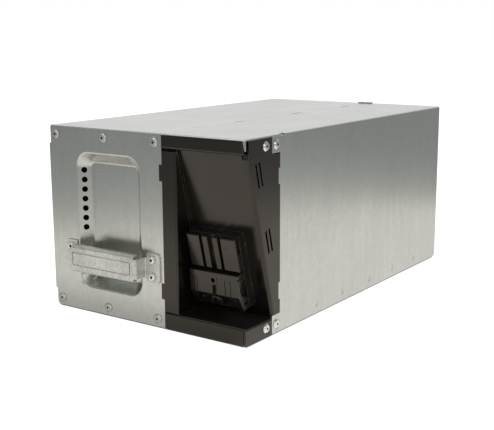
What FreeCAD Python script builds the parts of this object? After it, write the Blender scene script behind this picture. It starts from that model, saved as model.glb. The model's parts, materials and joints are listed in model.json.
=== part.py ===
import FreeCAD, Part
import math
import os

# UPS battery cartridge: a folded-steel case that holds eight sealed battery blocks, with a
# drawn hand recess and strap handle on the left of its front and a black connector bay on
# the right. Millimetres. +X right, +Y back, +Z up. The origin is the middle of the underside.

V = FreeCAD.Vector
os.makedirs("parts", exist_ok=True)

# --- Battery blocks and the room round them ------------------------------------------------
battery_tall = 151.0        # block stood on its end
battery_deep = 65.0         # along the cartridge
battery_across = 94.0       # case of the block, without its terminals
battery_rows = 4
battery_gap = 0.5           # between one block and the next
terminal_width = 6.35
terminal_thick = 0.8
terminal_reach = 6.0        # out of the block's lid
terminal_inset = 15.0       # terminal's middle to the end of the block
lid_depth = 8.0             # lid of the block, set in all round
lid_step = 1.0
wire_channel = 19.6         # between the two columns of blocks
divider_thick = 1.5
liner_thick = 0.8
floor_liner = 1.0
top_pad = 9.4
end_pad = 3.0
front_space = 88.4          # from the front plate to the bulkhead

# --- Sheet metal ---------------------------------------------------------------------------
sheet = 1.2                 # galvanised steel
black_sheet = 1.2           # painted steel of the connector bay
bend = 2.0                  # outside radius of a fold

case_width = 2 * (2 * sheet + liner_thick + battery_across) + wire_channel
case_height = 3 * sheet + floor_liner + battery_tall + top_pad
case_depth = (4 * sheet + front_space + 2 * end_pad + battery_rows * battery_deep
              + (battery_rows - 1) * battery_gap + 0.3)

left = -case_width / 2
right = case_width / 2
front = -case_depth / 2
back = case_depth / 2
top = case_height
under_top = top - sheet     # underside of the main cover
under_flange = under_top - sheet

# --- Front plate ---------------------------------------------------------------------------
bay_width = 83.1            # front plate's right edge to the right side
corner_relief = 3.0         # square notch in the front left corner, top and bottom
relief_height = 16.0
plate_corner = 4.0          # rounded bottom left corner
cover_lift = 0.9            # covers' lower edge, above the underside
key_depth = 3.0             # keys of the bay's left flange, in notches of the plate
key_height = 13.8
key_low = 25.8              # lower key, from the underside
key_drop = 39.2             # upper key's lower edge, below the top

recess_depth = 9.0
recess_corner = 13.5
recess_left = 34.0          # from the case's left side
recess_right = 24.4         # from the plate's right edge
recess_below = 23.0         # from the underside
recess_above = 21.8         # from the top
recess_round = 2.5          # softened rim and floor edge
draw_mark_length = 4.8      # creases left by the press outside the lower corners
draw_mark_width = 1.5
draw_mark_out = 2.3         # from the corner's arc
draw_mark_depths = (0.7, 0.3)           # left and right corner

vent_hole = 5.2
vent_pitch = 8.5
vent_count = 7
vent_drop = 38.0            # top hole, below the top

# --- Handle --------------------------------------------------------------------------------
strap = 1.5
strap_width = 16.6
strap_bend = 2.5
handle_reach = 13.7         # front of the bar, ahead of the plate
handle_shift = 2.4          # handle's middle, right of the recess's
handle_middle = 51.2        # height of its centre line
leg_outside = 2.95          # half the handle's length, beyond half the recess
foot_length = 15.5
foot_height = 26.0
foot_corner = 4.0
bar_height = 23.8           # grip with its two folded flanges
grip_flange = 5.5
grip_relief = 3.6           # bar left flat at each end, for the folds
panel_inset = 5.45          # frame scored in the bar, from the legs' outer faces
panel_height = 11.8
panel_shift = -1.0          # its middle, from the handle's
panel_line = 0.8            # width of the scored line
panel_depth = 0.5
screw_outside = 8.0         # screw's middle, beyond the leg's outer face
screw_pitch = 14.6
screw_thread = 4.0
screw_head = 6.6
screw_head_height = 2.2
screw_socket = 3.2          # hexagon socket across its corners
nut_width = 7.0
nut_height = 3.2

# --- Rivets --------------------------------------------------------------------------------
rivet_head = 8.0
rivet_dome = 1.7
rivet_crown = 5.8           # nearly flat top of the dome
rivet_rim = 0.35
rivet_body = 4.0
rivet_bulb = 5.6
rivet_hole = 2.2
dimple = 9.6
dimple_depth = 0.3
rivet_edge = 7.8            # rivet's middle from the top and the underside
rivet_left = 9.4            # first column, from the case's left side
rivet_right = 7.9           # last column, from the plate's right edge
bay_rivet_back = 28.5       # rivets of the bay's side, behind the front
side_rivet_ahead = 5.3      # rivets of the side cover, ahead of its edge

# --- Top seam ------------------------------------------------------------------------------
seam = 84.5                 # from the right side to the edge of the main cover
strip_depth = 57.0          # front strip of the main cover, across the whole width
lap = 12.0                  # side cover's lap under the main cover
lap_inside = 6.0            # and under its own top strip
seam_gap = 0.15
slot_width = 1.6
seam_slots = ((104.0, 119.5), (198.0, 218.0), (298.0, 316.0))   # from the front
edge_notch = 4.0

# --- Side cover ----------------------------------------------------------------------------
bay_depth = 48.8            # front plate to the side cover's edge
tab_reach = 11.6            # tabs that lap the bay, top and bottom
tab_top = 14.5              # height of the top tab
tab_bottom = 16.5           # height of the bottom tab
small_key = 2.1
key_room = 0.9              # gap at both ends of such a key
tab_room = 1.0              # and under the top tab
side_key_low = (28.5, 14.5)             # from the underside, height
side_key_drop = 40.4        # upper key's lower edge, below the top
side_key_tall = 13.4
weld_dimple = 6.5
weld_depth = 0.3
weld_height = 10.0
weld_places = (107.0, 153.0, 206.0, 256.0, 305.0)
back_corner = 4.0

# --- Base, back and inner frame --------------------------------------------------------------
pan_flange = 20.0
rear_flange = 15.0
hook_width = 15.0
hook_reach = 6.0
brace_height = 16.0
brace_flange = 12.0
gusset_height = 11.0
gusset_length = 40.0
bulkhead_flange = 12.0
grommet_hole = 14.0
grommet_wall = 2.0
grommet_flange = 2.5

# --- Connector bay -------------------------------------------------------------------------
bay_flange = 14.5           # left flange of the bay
wall_depth = 52.0
wall_low = 15.5             # flange's lower edge
wall_drop = 14.5            # flange's upper edge, below the top
lap_behind = 6.5            # strip of the flange behind the front plate
rail_drop = 12.5            # lower edge of the rail, from the top
rail_flange = 14.0
rail_lap = 14.0             # rail's strip behind the front plate
rail_end = 1.6              # rail's right end, from the side, at its lower edge
rail_slant = 2.0
corner_tab = 2.5
corner_tab_drop = 9.0
corner_tab_tip = 0.5
shelf_height = 14.8
shelf_band = 37.0           # length of the shelf's side band
shelf_lift = 0.5            # bands' lower edge above the underside
shelf_seam = 1.5
lean = 14.0                 # the back panel leans by this many degrees
lean_setback = 4.5          # back panel's face behind the front plate, at lean_drop
lean_drop = 16.5            # below the top
panel_bend = 3.0
edge_flange = 2.6           # panel's left edge, folded forward
upper_tab = 37.0            # side panel's depth above the tab of the side cover
slit_length = 20.0
slit_width = 2.4
slit_pitch = 4.9
slit_back = 8.5             # first slit behind the panel's face
slit_drops = (16.3, 73.0)   # middles of the two pairs, down the slope

# --- Connector -----------------------------------------------------------------------------
plug_aside = 3.4            # plate's left edge, from the bay's left wall
plug_clear = 9.3            # plate's lower end to the shelf, down the slope
plate_thick = 1.5
plate_beside = 0.7          # plate's margin at both sides of the body
plate_beyond = 1.5          # and at both ends
body_width = 49.0
body_length = 64.0
body_reach = 8.0            # front of the moulded body, ahead of the panel
boss_width = 38.0
boss_length = 40.0
boss_reach = 13.0           # behind the panel
finger_reach = 14.0
finger_below = 0.4          # top of the fingers, below the body's
finger_length = 28.6
finger_inset = 0.4          # first finger, from the body's left side
finger_shares = ((0.0, 0.261), (0.319, 0.434), (0.538, 0.642), (0.7, 1.0))
finger_chamfer = 0.8
side_slot = 14.5            # slot in the right side of the last finger, from its top
shell_gap = 2.0             # fingers' lower end to the lower shell
shell_margin = 1.0          # shell's lower end, above the body's
shell_lip = 3.0
shell_groove = 1.0
shell_reach = 17.0          # front of its face at the top
shell_swell = 19.6          # and where the face ends
shell_open = 13.5           # length of the open foot under that face
shell_foot = 15.6           # reach of its foot
shell_leg = 5.0             # legs at both sides of the open foot
shell_floor = 13.0          # reach of the wall between the legs
bite = 16.0                 # round recess in both sides
bite_drop = 14.0            # its middle, below the shell's top
bite_reach = 8.8
bite_depth = 3.0
eye_hole = 4.3
eye_drop = 6.8              # below the shell's top
guide_slot = 4.3
guide_drop = 10.4           # top of the slot, below the shell's top
guide_out = 1.4             # it runs out past the face
rib = 1.0
rib_shares = (-0.83, -0.71, 0.45, 0.67)    # of half the width, from the middle
contact_thick = 1.6
contact_length = 20.0
latch_width = 11.0
latch_rise = 10.4           # top of the arch, above the shell's lower end
latch_height = 7.0
latch_reach = 18.0
latch_thick = 1.2
plug_screw_inset = 7.5      # from the body's side
plug_screw_head = 3.6
plug_screw_tall = 1.8
plug_screw_thread = 2.4
plug_screw_grip = 3.2
plug_screw_slot = 0.7
plug_screw_rise = 5.8       # above the shell's lower end

# --- Wiring --------------------------------------------------------------------------------
lead = 6.0
link_width = 9.0
link_thick = 3.0
lead_run = 14.0             # from the connector's boss to a lead's first bend
fuse_run = 26.0             # from the fuse to the negative lead's last bend
fuse_bend = 12.0            # straight end of that lead
grommet_drops = (45.0, 20.0)            # below the leads' level at the terminals
grommet_spread = 4.5
grommet_run = 15.0          # straight run of a lead ahead of its grommet
grommet_past = 9.0          # and behind it
lead_sweep = (24.0, -22.0, -18.0)       # positive lead's bend, from its grommet
fuse_sweep = (-12.0, -24.0, 4.0)        # fuse lead's bend, from its grommet
fuse_rise = (4.0, -8.0, 18.0)           # its first bend, from the fuse
fuse_length = 44.0
fuse_width = 18.0
fuse_height = 22.0
fuse_round = 10.0

plate_right = right - bay_width
wall_face = plate_right + bay_flange
seam_x = right - seam
side_front = front + bay_depth
shelf_under = shelf_height - black_sheet
rail_low = top - rail_drop
wall_high = top - wall_drop
key_high = top - key_drop
vent_first = top - vent_drop
side_key_high = (top - side_key_drop, side_key_tall)
rivet_columns = (left + rivet_left, (left + rivet_left + plate_right - rivet_right) / 2,
                 plate_right - rivet_right)
bulkhead_front = front + sheet + front_space
battery_front = bulkhead_front + sheet + end_pad
battery_floor = sheet + floor_liner
column_inner = wire_channel / 2
lean_place = FreeCAD.Placement(V(0, front + lean_setback, top - lean_drop),
                               FreeCAD.Rotation(V(1, 0, 0), lean))
slope_length = (top - lean_drop - shelf_height) / math.cos(math.radians(lean))
plate_width = body_width + 2 * plate_beside
plate_length = body_length + 2 * plate_beyond
plug_x = wall_face + plug_aside + plate_width / 2
plug_drop = slope_length - plug_clear - plate_length / 2    # connector's middle, down the slope
finger_drop = plug_drop - body_length / 2 + finger_below
finger_span = body_width - finger_inset
finger_edges = [(a * finger_span, b * finger_span) for a, b in finger_shares]
rib_places = [share * body_width / 2 for share in rib_shares]
plug_screw_spread = body_width / 2 - plug_screw_inset
shell_drop = finger_drop + finger_length + shell_gap
shell_low = plug_drop + body_length / 2 - shell_margin
shell_face = shell_low - shell_drop - shell_open


# --- Building blocks -----------------------------------------------------------------------
def block(x0, x1, y0, y1, z0, z1):
    """Box between two corners."""
    return Part.makeBox(x1 - x0, y1 - y0, z1 - z0, V(x0, y0, z0))


def rod(radius, start, direction, length):
    """Cylinder from a point along a direction."""
    return Part.makeCylinder(radius, length, start, direction)


def outline(points, radii):
    """Closed wire through points in one plane, each corner rounded by its own radius."""
    begins, middles, ends = [], [], []
    count = len(points)
    for i in range(count):
        corner = points[i]
        if radii[i] <= 0:
            begins.append(corner)
            middles.append(None)
            ends.append(corner)
            continue
        to_last = (points[i - 1] - corner).normalize()
        to_next = (points[(i + 1) % count] - corner).normalize()
        half = to_last.getAngle(to_next) / 2
        inward = (to_last + to_next).normalize()
        reach = radii[i] / math.tan(half)
        begins.append(corner + to_last * reach)
        middles.append(corner + inward * (radii[i] / math.sin(half) - radii[i]))
        ends.append(corner + to_next * reach)
    edges = []
    for i in range(count):
        if middles[i] is not None:
            edges.append(Part.Arc(begins[i], middles[i], ends[i]).toShape())
        after = begins[(i + 1) % count]
        if (after - ends[i]).Length > 1e-6:
            edges.append(Part.makeLine(ends[i], after))
    return Part.Wire(edges)


def in_plane(plane, a, b, level=0.0):
    """Point from two coordinates in the named plane and its distance along the normal."""
    return {"xy": V(a, b, level), "yz": V(level, a, b), "xz": V(a, level, b)}[plane]


def prism(plane, points, radii, low, high):
    """Rounded outline in a plane, extruded from one level to another."""
    wire = outline([in_plane(plane, a, b, low) for a, b in points], radii)
    normal = in_plane(plane, 0, 0, high - low)
    return Part.Face(wire).extrude(normal)


def folded(plane, path, thick, radius, low, high):
    """Folded sheet: the path is one face, and the metal lies on the left of its direction."""
    steps = [(b[0] - a[0], b[1] - a[1]) for a, b in zip(path, path[1:])]
    lengths = [math.hypot(*s) for s in steps]
    normals = [(-s[1] / n, s[0] / n) for s, n in zip(steps, lengths)]
    other, near, far = [], [0.0], [0.0]
    other.append((path[0][0] + thick * normals[0][0], path[0][1] + thick * normals[0][1]))
    for i in range(1, len(path) - 1):
        n0, n1 = normals[i - 1], normals[i]
        share = thick / (1 + n0[0] * n1[0] + n0[1] * n1[1])
        other.append((path[i][0] + share * (n0[0] + n1[0]), path[i][1] + share * (n0[1] + n1[1])))
        left_turn = steps[i - 1][0] * steps[i][1] - steps[i - 1][1] * steps[i][0] > 0
        near.append(radius if left_turn else radius - thick)
        far.append(radius - thick if left_turn else radius)
    near.append(0.0)
    far.append(0.0)
    other.append((path[-1][0] + thick * normals[-1][0], path[-1][1] + thick * normals[-1][1]))
    return prism(plane, list(path) + other[::-1], near + far[::-1], low, high)


def rounded_box(x0, x1, y0, y1, z0, z1, radius, wanted):
    """Box with a radius on the edges where wanted() is true of the edge's middle."""
    box = block(x0, x1, y0, y1, z0, z1)
    edges = [e for e in box.Edges if wanted(e.CenterOfMass)]
    return box.makeFillet(radius, edges)


def skin(x0, x1, y0, y1, z0, z1, thick, radius, wanted_outer, wanted_inner, open_sides):
    """Walls of a folded box: outer box less an inner one that breaks through the open sides."""
    outer = rounded_box(x0, x1, y0, y1, z0, z1, radius, wanted_outer)
    inset = {side: (-thick if side in open_sides else thick)
             for side in ("left", "right", "front", "back", "bottom", "top")}
    inner = rounded_box(x0 + inset["left"], x1 - inset["right"], y0 + inset["front"],
                        y1 - inset["back"], z0 + inset["bottom"], z1 - inset["top"],
                        radius - thick, wanted_inner)
    return outer.cut(inner)


def near(a, b):
    return abs(a - b) < 0.01


def rounded_rect(middle_x, middle_z, width, height, radius, y):
    """Rounded rectangle that faces the front, as a wire."""
    w, h = width / 2, height / 2
    corners = [(-w, -h), (w, -h), (w, h), (-w, h)]
    points = [V(middle_x + a, y, middle_z + b) for a, b in corners]
    return outline(points, [radius] * 4)


def join(first, others):
    """One solid from touching or overlapping ones, without leftover edges."""
    return first.multiFuse(others).removeSplitter()


def placed(shape, position, direction):
    """Shape made along +Z, turned to a direction and moved to a position."""
    turned = shape.copy()
    turned.Placement = FreeCAD.Placement(position, FreeCAD.Rotation(V(0, 0, 1), direction))
    return turned


def leaned(shape):
    """Shape drawn on the upright back panel, moved to where the panel leans."""
    moved = shape.copy()
    moved.Placement = lean_place.multiply(moved.Placement)
    return moved


def save(name, shape):
    shape.exportStep("parts/" + name + ".step")
    print("%-20s solids %2d  volume %9.0f  %s" % (
        name, len(shape.Solids), shape.Volume, "valid" if shape.isValid() else "NOT VALID"))


def group(shapes):
    """Separate solids that share one node."""
    return Part.makeCompound(shapes)


# --- Rivets and their holes ----------------------------------------------------------------
def rivet(grip):
    """Blind rivet along +Z: low dome with the mandrel's hole, body and the bulb behind the sheets."""
    half = rivet_head / 2
    bulb_end = grip + rivet_bulb / 2
    corners = [V(rivet_hole / 2, 0, rivet_dome), V(rivet_crown / 2, 0, 0.9 * rivet_dome),
               V(half, 0, rivet_rim), V(half, 0, 0), V(rivet_body / 2, 0, 0),
               V(rivet_body / 2, 0, -grip), V(rivet_bulb / 2, 0, -grip),
               V(rivet_bulb / 2, 0, -bulb_end), V(0, 0, -bulb_end), V(0, 0, 0.3),
               V(rivet_hole / 2, 0, 0.3)]
    return Part.Face(Part.makePolygon(corners + corners[:1])).revolve(V(0, 0, 0), V(0, 0, 1), 360)


def rivet_cut(position, direction):
    """Dimple in the outer sheet and the hole through the sheets, for one rivet."""
    inward = direction * -1
    hole = rod(rivet_body / 2 + 0.05, position + direction, inward, 6 * sheet)
    return hole.fuse(rod(dimple / 2, position + direction, inward, 1 + dimple_depth))


front_rivet_spots = [V(x, front, z) for x in rivet_columns
                     for z in (rivet_edge, top - rivet_edge)]
side_rivet_levels = (rivet_edge + 0.5, top - rivet_edge)
bay_rivet_spots = [V(right, front + bay_rivet_back, z) for z in side_rivet_levels]
side_rivet_spots = [V(right, side_front - side_rivet_ahead, z) for z in side_rivet_levels]
facing_front = V(0, -1, 0)
facing_right = V(1, 0, 0)
rivet_cuts = ([rivet_cut(p, facing_front) for p in front_rivet_spots]
              + [rivet_cut(p, facing_right) for p in bay_rivet_spots + side_rivet_spots])


def rivet_group(spots, direction, sheets):
    grip = sheets * sheet - dimple_depth
    return group([placed(rivet(grip), p - direction * dimple_depth, direction) for p in spots])


# --- Handle fixings ------------------------------------------------------------------------
recess_width = plate_right - recess_right - left - recess_left
recess_height = top - recess_above - recess_below
recess_x = left + recess_left + recess_width / 2
recess_z = recess_below + recess_height / 2
handle_x = recess_x + handle_shift
handle_leg = recess_width / 2 + leg_outside     # leg's outer face, from the handle's middle
screw_spread = handle_leg + screw_outside
screw_spots = [V(handle_x + side * screw_spread, front - strap,
                 handle_middle + level * screw_pitch / 2)
               for side in (-1, 1) for level in (-1, 1)]
screw_cuts = [rod(screw_thread / 2 + 0.05, p + facing_front * 2, V(0, 1, 0), 10)
              for p in screw_spots]


# --- Case ----------------------------------------------------------------------------------
def recess_back():
    """Back of the drawn recess, and the space in front of it."""
    spread = sheet * math.tan(math.radians(22.5))
    sink = recess_depth - spread
    rim = rounded_rect(recess_x, recess_z, recess_width + 2 * spread, recess_height + 2 * spread,
                       recess_corner + spread, front + sheet)
    floor = rounded_rect(recess_x, recess_z, recess_width - 2 * sink, recess_height - 2 * sink,
                         recess_corner - sink, front + recess_depth + sheet)
    return Part.makeLoft([rim, floor], True, True)


def recess_space():
    rim = rounded_rect(recess_x, recess_z, recess_width, recess_height, recess_corner, front)
    floor = rounded_rect(recess_x, recess_z, recess_width - 2 * recess_depth,
                         recess_height - 2 * recess_depth, recess_corner - recess_depth,
                         front + recess_depth)
    space = Part.makeLoft([rim, floor], True, True)
    deep = [e for e in space.Edges if near(e.BoundBox.YMin, front + recess_depth)]
    return space.makeFillet(recess_round, deep)


def vent_cuts():
    """Round holes in the left slope of the recess, square to the slope."""
    inward = V(-1, 1, 0)
    middle = recess_depth / 2
    spots = [V(left + recess_left + middle, front + middle, vent_first - i * vent_pitch)
             for i in range(vent_count)]
    return [rod(vent_hole / 2, p - inward * 3, inward, 8) for p in spots]


def draw_marks():
    """Creases at 45 degrees outside the two lower corners of the recess."""
    marks = []
    out = (recess_corner + draw_mark_out) * math.sqrt(0.5)
    half = draw_mark_length / 2 * math.sqrt(0.5)
    wide = draw_mark_width / 2 * math.sqrt(0.5)
    for side, depth in zip((-1, 1), draw_mark_depths):
        x = recess_x + side * (recess_width / 2 - recess_corner + out)
        z = recess_below + recess_corner - out
        long, short = half + wide, half - wide
        points = [(x + side * long, z + short), (x + side * short, z + long),
                  (x - side * long, z - short), (x - side * short, z - long)]
        marks.append(prism("xz", points, [0.6] * 4, front - 1, front + depth))
    return marks


def round_off(edge_x, radius):
    """What a radius takes off the front plate's bottom left corner."""
    middle = cover_lift + radius
    square = block(edge_x - 1, edge_x + radius, front - 1, front + bend, 0, middle)
    return square.cut(rod(radius, V(edge_x + radius, front - 2, middle), V(0, 1, 0), bend + 4))


def main_cover():
    """Front plate, top with its front strip, and left side, folded from one sheet."""
    def outer(c):
        return ((near(c.x, left) and near(c.y, front)) or (near(c.x, left) and near(c.z, top))
                or (near(c.y, front) and near(c.z, top)))

    def inner(c):
        return ((near(c.x, left + sheet) and near(c.y, front + sheet))
                or (near(c.x, left + sheet) and near(c.z, under_top))
                or (near(c.y, front + sheet) and near(c.z, under_top)))

    body = skin(left, right, front, back, cover_lift, top, sheet, bend, outer, inner,
                ("right", "back", "bottom"))
    body = body.fuse(recess_back())
    behind_strip = front + strip_depth
    cuts = [
        block(plate_right, right + 1, front - 1, front + bend, -1, under_top),
        block(seam_x, right + 1, behind_strip, back + 1, top - bend - 1, top + 1),
        block(left - 1, left + corner_relief, front - 1, front + corner_relief,
              top - relief_height, top + 1),
        block(left - 1, left + corner_relief, front - 1, front + corner_relief,
              -1, relief_height),
        recess_space(),
        round_off(left + corner_relief, plate_corner),
    ]
    for low in (key_low, key_high):
        cuts.append(block(plate_right - key_depth, plate_right + 1, front - 1, front + sheet + 1,
                          low, low + key_height))
    for start, end in seam_slots:
        cuts.append(block(seam_x - slot_width, seam_x + 1, front + start, front + end,
                          top - bend - 1, top + 1))
    cuts.append(block(right - edge_notch, right + 1, behind_strip - 6, behind_strip + 1,
                      top - bend - 1, top + 1))
    cuts.append(hook_notch())
    body = body.cut(group(cuts + vent_cuts() + rivet_cuts + screw_cuts))
    rim = [e for e in body.Edges if near(e.BoundBox.YMax, front) and near(e.BoundBox.YMin, front)
           and e.BoundBox.ZMin > recess_below - 1 and e.BoundBox.ZMax < top - recess_above + 1
           and e.BoundBox.XMin > left + recess_left - 1
           and e.BoundBox.XMax < plate_right - recess_right + 1
           and e.Length > vent_hole]
    body = body.makeFillet(recess_round, rim).cut(group(draw_marks()))
    tab_points = [(right - corner_tab, under_top), (right, under_top),
                  (right, top - corner_tab_drop), (right - corner_tab_tip, top - corner_tab_drop)]
    tab = prism("xz", tab_points, [0, 0, 0, 0], front, front + sheet)
    return join(body, [tab])


def hook_notch():
    middle = seam_x - 3.0
    return block(middle - hook_width / 2 - 0.3, middle + hook_width / 2 + 0.3,
                 back - sheet - 0.2, back + 1, rail_low, top + 1)


def side_cover():
    """Right side and a top strip flush with the main cover, with laps, tabs and keys."""
    behind_strip = front + strip_depth
    under_strip = [(right, cover_lift), (right, under_top), (seam_x - lap, under_top)]
    flush = [(right, cover_lift), (right, top), (seam_x + seam_gap, top)]
    body = folded("xz", under_strip, sheet, bend, side_front, behind_strip + seam_gap)
    laps = [
        folded("xz", flush, sheet, bend, behind_strip + seam_gap, back),
        block(seam_x - lap, seam_x + lap_inside, behind_strip, back, under_flange, under_top),
        block(seam_x, right - bend, behind_strip, behind_strip + lap_inside,
              under_flange, under_top),
        block(seam_x, right - bend, back - rear_flange, back, under_flange, under_top),
    ]
    body = join(body, laps)
    low_key = side_key_low[0]
    high_key = side_key_high[0]
    inside = right - sheet
    tabs = [
        block(inside, right, side_front - tab_reach, side_front + 1, top - tab_top, under_top),
        block(inside, right, side_front - tab_reach, side_front + 1, cover_lift, tab_bottom),
        block(inside, right, side_front - small_key, side_front + 1, low_key,
              low_key + side_key_low[1]),
        block(inside, right, side_front - small_key, side_front + 1, high_key,
              high_key + side_key_high[1]),
    ]
    body = join(body, tabs)
    cuts = []
    for start, end in seam_slots:
        cuts.append(block(seam_x - slot_width, seam_x, front + start, front + end,
                          under_flange - 1, top))
    for place in weld_places:
        cuts.append(rod(weld_dimple / 2, V(right - weld_depth, front + place, weld_height),
                        facing_right, 2))
    cuts.append(hook_notch())
    body = body.cut(group(cuts + rivet_cuts))
    lower = [e for e in body.Edges if near(e.CenterOfMass.y, back)
             and near(e.CenterOfMass.z, cover_lift) and e.Length < 2 * sheet]
    return body.makeFillet(back_corner, lower)


def base_pan():
    """Shallow pan under the whole case, its flanges inside the covers."""
    def outer(c):
        return near(c.z, 0) or abs(c.z - pan_flange / 2) < bend

    def inner(c):
        return near(c.z, sheet) or abs(c.z - pan_flange / 2) < bend

    body = skin(left + sheet, right - sheet, front + sheet, back - sheet, 0, pan_flange,
                sheet, bend, outer, inner, ("top",))
    bay = block(plate_right - lap_behind, right + 1, front - 1, side_front + 6,
                shelf_under - bend + black_sheet, pan_flange + 1)
    cuts = [bay] + rivet_cuts + screw_cuts
    return body.cut(group(cuts))


def stepped(x0, x1, step_x, z0, left_top, right_top, corner, y0, y1):
    """Plate outline whose top is lower on the right, its outer corners rounded."""
    points = [(x0, z0), (x1, z0), (x1, right_top), (step_x, right_top), (step_x, left_top),
              (x0, left_top)]
    return prism("xz", points, [0, 0, corner, 0, 0, corner], y0, y1)


def rear_panel():
    """Back of the case with flanges inside the covers and a hook over the top seam."""
    x0, x1 = left + sheet, right - sheet
    step_x = seam_x - lap - 0.4
    body = stepped(x0, x1, step_x, pan_flange, under_top, under_flange, bend,
                   back - rear_flange, back)
    space = stepped(x0 + sheet, x1 - sheet, step_x - sheet, pan_flange - 1, under_top - sheet,
                    under_flange - sheet, bend - sheet, back - rear_flange - 1, back - sheet)
    body = body.cut(space)
    skirt = block(x0, x1, back - sheet, back, cover_lift, pan_flange)
    middle = seam_x - 3.0
    half = hook_width / 2
    riser = block(middle - half, middle + half, back - sheet, back, under_flange - 1, top + sheet)
    lip = block(middle - half, middle + half, back - hook_reach, back, top, top + sheet)
    return join(body, [skirt, riser, lip])


def front_brace():
    """Angle behind the top of the front plate, which the top rivets pass through."""
    y = front + sheet
    path = [(y, under_top - brace_height), (y, under_top), (y + brace_flange, under_top)]
    body = folded("yz", path[::-1], sheet, bend, left + bend + sheet, plate_right - rail_lap)
    return body.cut(group(rivet_cuts))


def corner_gusset():
    """Plate inside the top right corner, which joins the side panel to the side cover."""
    inside = right - sheet
    high = under_flange - bend + sheet
    plate = block(inside - sheet, inside, side_front + 6 - gusset_length, side_front + 6,
                  high - gusset_height, high)
    return plate.cut(group(rivet_cuts))


def bulkhead():
    """Wall ahead of the battery blocks, with the holes for the leads."""
    y = bulkhead_front
    inner_left = left + 2 * sheet
    inner_right = right - 2 * sheet
    path = [(y - bulkhead_flange, sheet), (y + sheet, sheet), (y + sheet, under_flange)]
    body = folded("yz", path, sheet, bend, inner_left, inner_right)
    sides = [block(inner_left, inner_left + sheet, y - bulkhead_flange, y + sheet,
                   sheet + bend, under_flange),
             block(inner_right - sheet, inner_right, y - bulkhead_flange, y + sheet,
                   sheet + bend, under_flange)]
    body = join(body, sides)
    cuts = [rod(grommet_hole / 2, V(p.x, y - 1, p.z), V(0, 1, 0), 4) for p in grommet_spots]
    for x in (inner_left, inner_right):
        cuts.append(block(x - bend + sheet, x + bend - sheet, y - bulkhead_flange - 1, y + sheet + 1,
                          0, sheet + bend))
    return body.cut(group(cuts))


# --- Handle --------------------------------------------------------------------------------
def handle():
    """Bent strap: two feet, two legs and a bar with its edges folded back."""
    inside = handle_leg - strap
    foot_end = handle_leg + foot_length
    bar_back = front - handle_reach + strap
    path = [(handle_x + foot_end, front), (handle_x + inside, front),
            (handle_x + inside, bar_back), (handle_x - inside, bar_back),
            (handle_x - inside, front), (handle_x - foot_end, front)]
    low = handle_middle - strap_width / 2
    body = folded("xy", path, strap, strap_bend, low, low + strap_width)
    feet = []
    for side in (-1, 1):
        inner_x = handle_x + side * (handle_leg + strap_bend / 2)
        outer_x = handle_x + side * foot_end
        z0, z1 = handle_middle - foot_height / 2, handle_middle + foot_height / 2
        points = [(inner_x, z0), (outer_x, z0), (outer_x, z1), (inner_x, z1)]
        feet.append(prism("xz", points, [1.0, foot_corner, foot_corner, 1.0],
                          front - strap, front))
    grip = bar_height / 2
    face = front - handle_reach
    channel = [(face + grip_flange, handle_middle + grip), (face, handle_middle + grip),
               (face, handle_middle - grip), (face + grip_flange, handle_middle - grip)]
    half = handle_leg - grip_relief
    bar = folded("yz", channel, strap, strap_bend, handle_x - half, handle_x + half)
    body = join(body, feet + [bar])
    w, h = handle_leg - panel_inset, panel_height / 2
    middle = handle_x + panel_shift
    scored = prism("xz", [(middle - w, handle_middle - h), (middle + w, handle_middle - h),
                          (middle + w, handle_middle + h), (middle - w, handle_middle + h)],
                   [1.5] * 4, face - 1, face + panel_depth)
    w, h = w - panel_line, h - panel_line
    kept = block(middle - w, middle + w, face - 2, face + 2, handle_middle - h, handle_middle + h)
    return body.cut(group([scored.cut(kept)] + screw_cuts))


def screw(grip):
    """Pan head screw along +Z, with a socket in its head."""
    head = rod(screw_head / 2, V(0, 0, 0), V(0, 0, 1), screw_head_height)
    rim = [e for e in head.Edges if near(e.CenterOfMass.z, screw_head_height)]
    head = head.makeFillet(0.45 * screw_head_height, rim)
    shank = rod(screw_thread / 2, V(0, 0, -grip), V(0, 0, 1), grip)
    corners = [V(screw_socket / 2 * math.cos(math.radians(a)),
                 screw_socket / 2 * math.sin(math.radians(a)), screw_head_height * 0.1)
               for a in range(0, 360, 60)]
    socket = Part.Face(Part.makePolygon(corners + corners[:1])).extrude(V(0, 0, screw_head_height))
    return join(head, [shank]).cut(socket)


def nut():
    """Hexagon nut that the screw passes through, along +Z."""
    radius = nut_width / 2 / math.cos(math.radians(30))
    corners = [V(radius * math.cos(math.radians(a)), radius * math.sin(math.radians(a)), 0)
               for a in range(0, 360, 60)]
    body = Part.Face(Part.makePolygon(corners + corners[:1])).extrude(V(0, 0, nut_height))
    return body.cut(rod(screw_thread / 2 + 0.05, V(0, 0, -1), V(0, 0, 1), nut_height + 2))


# --- Connector bay -------------------------------------------------------------------------
def bay_wall():
    """Left wall of the bay, its front flange, and the strip behind the front plate."""
    path = [(wall_face, front + wall_depth), (wall_face, front), (plate_right, front)]
    low, high = shelf_height, rail_low - 0.2
    body = folded("xy", path[::-1], black_sheet, bend, low, high)
    trims = [block(plate_right - 1, wall_face - black_sheet, front - 1, front + bend + 1, -1, wall_low),
             block(plate_right - 1, wall_face + 1, front - 1, front + bend + 1, wall_high, top)]
    body = body.cut(group(trims))
    behind = block(plate_right - lap_behind, plate_right + black_sheet, front + sheet,
                   front + sheet + black_sheet, wall_low, wall_high)
    keys = [block(plate_right - key_depth, plate_right + 0.1, front, front + sheet,
                  low_key + 0.2, low_key + key_height - 0.2) for low_key in (key_low, key_high)]
    return join(body, [behind] + keys)


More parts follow.
